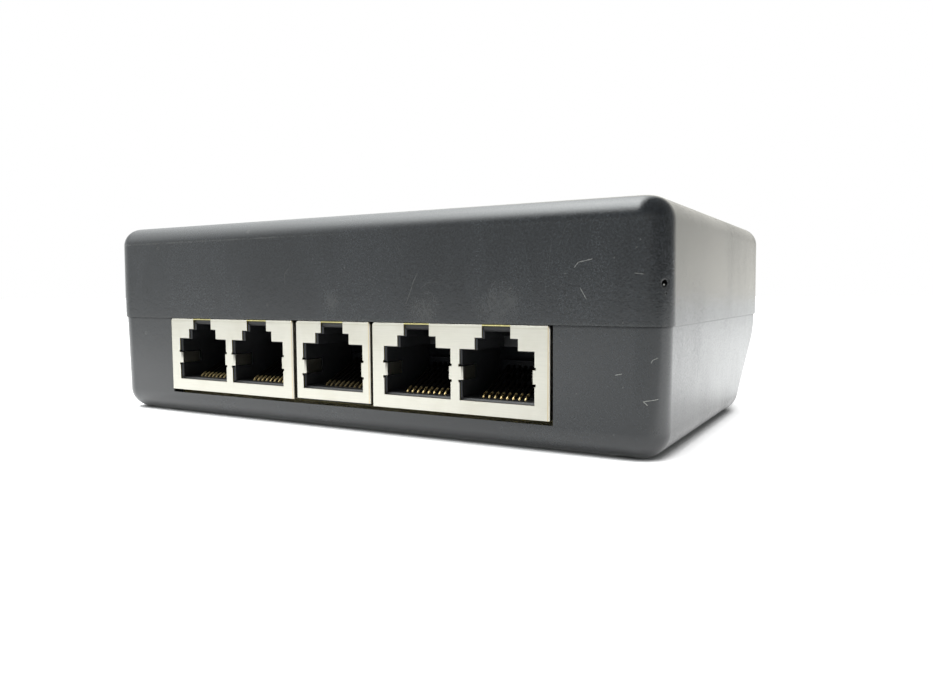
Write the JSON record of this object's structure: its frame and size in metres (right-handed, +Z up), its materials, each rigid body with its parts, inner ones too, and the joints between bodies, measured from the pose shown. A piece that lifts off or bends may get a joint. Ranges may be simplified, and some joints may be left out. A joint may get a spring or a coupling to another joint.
{
  "type": "port distribution box",
  "caption": "Low black two-part plastic box with a row of shielded modular sockets set in its front under the parting line, and a sloping underside at the rear.",
  "frame": {"origin": "bottom centre of the bounding box, on the surface the box stands on", "axes": "+X along the front from left to right, -Y out of the front face with the sockets, +Z up"},
  "size_m": [0.112, 0.073, 0.036],
  "materials": {
    "case_plastic": "fine matt texture",
    "board_laminate": "green solder resist",
    "shield_plate": "satin plated",
    "jack_plastic": "moulded black",
    "contact_wire": "gold plated",
    "screw_steel": "zinc plated",
    "fuse_coating": "dipped coating"
  },
  "bodies": {
    "case": {"board_screws": "screw_steel", "case_screws": "screw_steel", "centre_contact_carrier": "jack_plastic", "centre_housing": "jack_plastic", "centre_shield": "shield_plate", "centre_shield_back": "shield_plate", "circuit_board": "board_laminate", "left_contact_carrier": "jack_plastic", "left_housing": "jack_plastic", "left_shield": "shield_plate", "left_shield_back": "shield_plate", "lower_shell": "case_plastic", "port_1_contacts": "contact_wire", "port_2_contacts": "contact_wire", "port_3_contacts": "contact_wire", "port_4_contacts": "contact_wire", "port_5_contacts": "contact_wire", "resettable_fuses": "fuse_coating", "right_contact_carrier": "jack_plastic", "right_housing": "jack_plastic", "right_shield": "shield_plate", "right_shield_back": "shield_plate", "upper_shell": "case_plastic"},
    "port_1_springs": {"port_1_springs": "contact_wire"},
    "port_2_springs": {"port_2_springs": "contact_wire"},
    "port_3_springs": {"port_3_springs": "contact_wire"},
    "port_4_springs": {"port_4_springs": "contact_wire"},
    "port_5_springs": {"port_5_springs": "contact_wire"}
  },
  "joints": [
    {"name": "port_1_spring_hinge", "type": "hinge", "parent": "case", "child": "port_1_springs", "pos_m": [-0.03101, -0.0329, 0.00655], "axis": [-1, 0, 0], "range_deg": [0, 12], "stiffness_Nm_per_rad": 0.2},
    {"name": "port_2_spring_hinge", "type": "hinge", "parent": "case", "child": "port_2_springs", "pos_m": [-0.01704, -0.0329, 0.00655], "axis": [-1, 0, 0], "range_deg": [0, 12], "stiffness_Nm_per_rad": 0.2},
    {"name": "port_3_spring_hinge", "type": "hinge", "parent": "case", "child": "port_3_springs", "pos_m": [0.00015, -0.0329, 0.00655], "axis": [-1, 0, 0], "range_deg": [0, 12], "stiffness_Nm_per_rad": 0.2},
    {"name": "port_4_spring_hinge", "type": "hinge", "parent": "case", "child": "port_4_springs", "pos_m": [0.01704, -0.0329, 0.00655], "axis": [-1, 0, 0], "range_deg": [0, 12], "stiffness_Nm_per_rad": 0.2},
    {"name": "port_5_spring_hinge", "type": "hinge", "parent": "case", "child": "port_5_springs", "pos_m": [0.03101, -0.0329, 0.00655], "axis": [-1, 0, 0], "range_deg": [0, 12], "stiffness_Nm_per_rad": 0.2}
  ]
}
